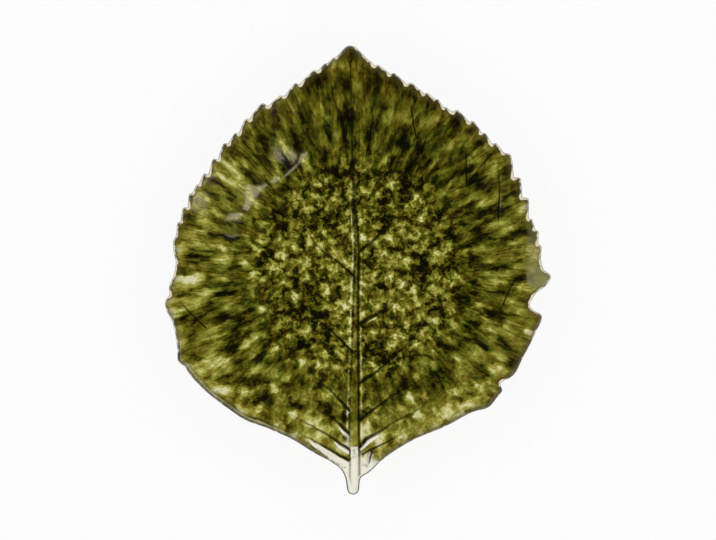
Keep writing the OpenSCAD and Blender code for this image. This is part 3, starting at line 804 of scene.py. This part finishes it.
# Underside: rings from the foot's flat out to the margin
UNDER_RINGS = 24
inset_far = np.linalg.norm(INSET, axis=1)[:, None]
inset_way = INSET / inset_far
ring_shares = np.linspace(0, 1, UNDER_RINGS)
ring_points = [inset_way * BASE_RADIUS]
ring_points += [inset_way * (FLOOR_RADIUS + (inset_far - FLOOR_RADIUS) * s) for s in ring_shares]
ring_edges = [np.linalg.norm(INSET - q, axis=1) + EDGE_INSET for q in ring_points]
under_rings = [
    np.column_stack([q, np.maximum(FOOT_HEIGHT, clay_under(q) + rolled(e, RIM_THICKNESS * 0.5))])
    for q, e in zip(ring_points, ring_edges)
]
rings = len(under_rings)
loop_numbers = np.arange(LOOP)
drop = np.array([0, 0, GLAZE])
back_points = np.vstack([r - drop for r in under_rings] + under_rings[::-1])
back_faces = [
    f for k in range(2 * rings)
    for f in band(loop_numbers + (k + 1) % (2 * rings) * LOOP, loop_numbers + k * LOOP)[:, ::-1].tolist()
]
back_edge = np.concatenate(ring_edges + ring_edges[::-1])
back_flat = back_points[:, :2]
solid(
    "glaze_on_back", "back_glaze", "back_glaze", back_glaze, back_points, back_faces,
    **coat_marks(back_flat, back_edge),
)

# Rim coat: a rounded section from the face's edge over the outline to the underside's edge
top_edge = np.column_stack([INSET, face_z[FACE_LOOP]])
low_edge = under_rings[-1]
middle = (top_edge[:, 2] + low_edge[:, 2]) / 2
section = []
SECTION_TURNS = np.radians(np.arange(90, -91, -18))
for turn in SECTION_TURNS:
    reach = EDGE_INSET + GLAZE - 0.08
    high = np.where(turn >= 0, top_edge[:, 2] + GLAZE - middle, middle - low_edge[:, 2] + GLAZE)
    section.append(np.column_stack([
        INSET + OUTWARD * reach * math.cos(turn), middle + high * math.sin(turn)]))
section += [low_edge, np.column_stack([OUTLINE, middle]), top_edge]
rim_points = np.vstack(section)
rim_faces = [
    f for k in range(len(section))
    for f in band(loop_numbers + (k + 1) % len(section) * LOOP, loop_numbers + k * LOOP).tolist()
]
rim_flat = rim_points[:, :2]
rim_edge = np.concatenate([
    np.full(LOOP, EDGE_INSET * (1 - math.cos(t)))
    for t in np.concatenate([SECTION_TURNS, np.radians([-90, 0, 90])])])
rim_pale = np.tile(face_veins["pale"][FACE_LOOP], len(section))
# The thick lip's dark outline, painted shade on its rolled outer side, goes on over the rim
rim_pool = 0.95 * np.minimum(1, 1.3 * lip_zone(rim_flat)) * (1 - ease(rim_edge, 0.5, 1.0))
rim_down = np.minimum(0, rim_points[:, 2] - np.tile(top_edge[:, 2], len(section)))
solid(
    "glaze_on_rim", "rim_glaze", "rim_glaze", rim_glaze, rim_points, rim_faces,
    **coat_marks(rim_flat, rim_edge, down=rim_down, pale=rim_pale, pool=rim_pool,
                 notch=np.tile(NOTCH, len(section))),
)

# Clay blade under the coats; only the wiped band round the foot ring is bare
clay = [np.column_stack([inset_way * (BASE_RADIUS - 0.3), np.full(LOOP, FOOT_HEIGHT)])]
clay += under_rings + [np.column_stack([OUTLINE, middle])]
ring_count = len(clay) * LOOP
clay_points = np.vstack(clay + [under])
clay_faces = [
    f for k in range(len(clay) - 1)
    for f in band(loop_numbers + k * LOOP, loop_numbers + (k + 1) * LOOP).tolist()
]
clay_faces += band(loop_numbers + ring_count - LOOP, FACE_LOOP + ring_count).tolist()
clay_faces += [tuple(i + ring_count for i in f) for f in face_faces]
clay_faces.append(tuple(loop_numbers[::-1]))
solid("clay_blade", "stoneware_body", "stoneware", stoneware, clay_points, clay_faces)


def turned(profile, steps):
    """Points and faces of a closed profile of (radius, height) turned round the plate's axis."""
    angles = np.arange(steps) * 2 * math.pi / steps
    profile = np.asarray(profile, float)
    points = np.concatenate([
        np.column_stack([r * np.cos(angles), r * np.sin(angles), np.full(steps, z)]) for r, z in profile])
    loop = np.arange(steps)
    faces = [
        f for k in range(len(profile))
        for f in band(loop + k * steps, loop + (k + 1) % len(profile) * steps).tolist()
    ]
    return points, faces


# Foot ring with softly turned corners
inner = FOOT_RADIUS - FOOT_WIDTH
corner = 1.0
low_in, low_out = inner + FOOT_TAPER, FOOT_RADIUS - FOOT_TAPER
ring_profile = [(FOOT_RADIUS, FOOT_HEIGHT)]
ring_profile += [(FOOT_RADIUS - FOOT_TAPER * s, FOOT_HEIGHT * (1 - s)) for s in (0.25, 0.5, 0.75)]
ring_profile += [
    (low_out - corner * (1 - math.cos(a)), corner * (1 - math.sin(a)))
    for a in np.radians([0, 30, 60, 90])]
ring_profile += [
    (low_in + corner * (1 - math.cos(a)), corner * (1 - math.sin(a)))
    for a in np.radians([90, 60, 30, 0])]
ring_profile += [(inner + FOOT_TAPER * s, FOOT_HEIGHT * (1 - s)) for s in (0.75, 0.5, 0.25)]
ring_profile += [(inner, FOOT_HEIGHT)]
foot_points, foot_faces = turned(ring_profile[::-1], FOOT_STEPS)
solid("turned_foot_ring", "foot_ring", "bare_foot", bare_foot, foot_points, foot_faces)

# Glaze in the foot's well: a disc that thins to a wiped, rounded edge
disc = [(0.02, FOOT_HEIGHT)]
disc += [(WELL_RADIUS * s, FOOT_HEIGHT) for s in (0.02, 0.3, 0.6, 0.8, 0.95, 1.0)]
disc += [(WELL_RADIUS - 0.08, FOOT_HEIGHT - 0.3 * GLAZE), (WELL_RADIUS - 0.3, FOOT_HEIGHT - 0.7 * GLAZE)]
disc += [(WELL_RADIUS - 0.9, FOOT_HEIGHT - 0.95 * GLAZE), (WELL_RADIUS - 2, FOOT_HEIGHT - GLAZE)]
disc += [(WELL_RADIUS * s, FOOT_HEIGHT - GLAZE) for s in (0.85, 0.7, 0.5, 0.3, 0.02)]
disc += [(0.02, FOOT_HEIGHT - GLAZE)]
disc_points, disc_faces = turned(disc[::-1], FOOT_STEPS)
disc_flat = disc_points[:, :2]
disc_edge = 1.0 + WELL_RADIUS - np.linalg.norm(disc_flat, axis=1)
solid(
    "glaze_in_foot_well", "foot_well_glaze", "back_glaze", back_glaze, disc_points, disc_faces,
    **coat_marks(disc_flat, disc_edge),
)

# Floor and round backdrop: white paper, lit by the lamps and white to the eye
paper, tree = new_finish("white_paper")
seen = add(tree, "ShaderNodeLightPath")
looked = add(tree, "ShaderNodeMath", {0: seen.outputs["Is Camera Ray"], 1: seen.outputs["Is Glossy Ray"]},
             operation="MAXIMUM")
looked = add(tree, "ShaderNodeMath", {0: looked.outputs[0], 1: seen.outputs["Is Transmission Ray"]},
             operation="MAXIMUM")
share_white = add(tree, "ShaderNodeMath", {0: looked.outputs[0], 1: 0.9}, operation="MULTIPLY")
lit = add(tree, "ShaderNodeBsdfDiffuse", {"Color": linear("#f4f4f2")})
white = add(tree, "ShaderNodeEmission", {"Color": linear("#ffffff"), "Strength": 1.0})
both = add(tree, "ShaderNodeMixShader", {0: share_white.outputs[0], 1: lit.outputs[0], 2: white.outputs[0]})
add(tree, "ShaderNodeOutputMaterial", {"Surface": both.outputs[0]})
# Radius and height of the paper from under the plate out to the top of the backdrop, left open there
sweep = [(0.001, -0.2), (900, -0.2), (2000, -0.2), (2600, -0.2)]
sweep += [(2850, 60), (2960, 200), (3000, 420), (3000, 1900)]
SWEEP_STEPS = 64
sweep_points, sweep_faces = turned(sweep, SWEEP_STEPS)
sweep_faces = sweep_faces[:-SWEEP_STEPS]
backdrop_mesh = bpy.data.meshes.new("paper_sweep")
backdrop_mesh.from_pydata((sweep_points * MM).tolist(), [], sweep_faces)
backdrop_mesh.materials.append(paper)
backdrop_mesh.polygons.foreach_set("use_smooth", np.ones(len(backdrop_mesh.polygons), bool))
backdrop = bpy.data.objects.new("paper_sweep", backdrop_mesh)
bpy.context.scene.collection.objects.link(backdrop)
backdrop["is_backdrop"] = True


LAMP_DISTANCE = 1.5


def softbox(name, turn, tilt, width, height, power, roll=0, code="#ffffff"):
    """A soft lamp at a turn round the plate and a tilt from straight up, aimed at the plate and rolled
    about its aim."""
    lamp = bpy.data.lights.new(name, "AREA")
    lamp.shape = "RECTANGLE"
    lamp.size, lamp.size_y = width, height
    lamp.energy = power
    lamp.color = linear(code)[:3]
    a, b = math.radians(turn), math.radians(tilt)
    place = Vector((math.sin(b) * math.cos(a), math.sin(b) * math.sin(a), math.cos(b))) * LAMP_DISTANCE
    made = bpy.data.objects.new(name, lamp)
    made.location = place
    aim = (-place).to_track_quat("-Z", "Y") @ Quaternion((0, 0, 1), math.radians(roll))
    made.rotation_euler = aim.to_euler()
    bpy.context.scene.collection.objects.link(made)


for number, turn in enumerate((30, 90, 150, 210, 270, 330)):
    softbox("side_lamp_%d" % number, turn, 50, 1.15, 0.5, 5.1)
# Four small warm lamps give the grey patches on the upper left slope
WARM_LAMP = "#fff1cc"
softbox("patch_lamp_a", -46, 30, 0.1, 0.1, 0.18, 20, WARM_LAMP)
softbox("patch_lamp_b", -56, 26.4, 0.1, 0.05, 0.08, -25, WARM_LAMP)
softbox("patch_lamp_c", -34, 32.2, 0.09, 0.09, 0.15, 10, WARM_LAMP)
softbox("patch_lamp_d", -22, 33, 0.12, 0.07, 0.16, 0, WARM_LAMP)

world = bpy.data.worlds.new("studio")
world.use_nodes = True
world.node_tree.nodes["Background"].inputs["Color"].default_value = linear("#ffffff")
world.node_tree.nodes["Background"].inputs["Strength"].default_value = 0.03
bpy.context.scene.world = world

# Camera straight above, at the photo's scale near the rim's height
PHOTO_PIXELS = 716
PIXEL = 0.604
RIM_LEVEL = 24 * MM
lens = bpy.data.cameras.new("overhead")
lens.sensor_width = 36
lens.lens = 100
VIEW_WIDTH = PHOTO_PIXELS * PIXEL * MM
overhead = bpy.data.objects.new("overhead", lens)
overhead.location = (0, 0, RIM_LEVEL + VIEW_WIDTH * lens.lens / lens.sensor_width)
bpy.context.scene.collection.objects.link(overhead)
bpy.context.scene.camera = overhead
bpy.context.scene.view_settings.view_transform = "Standard"

low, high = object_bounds()
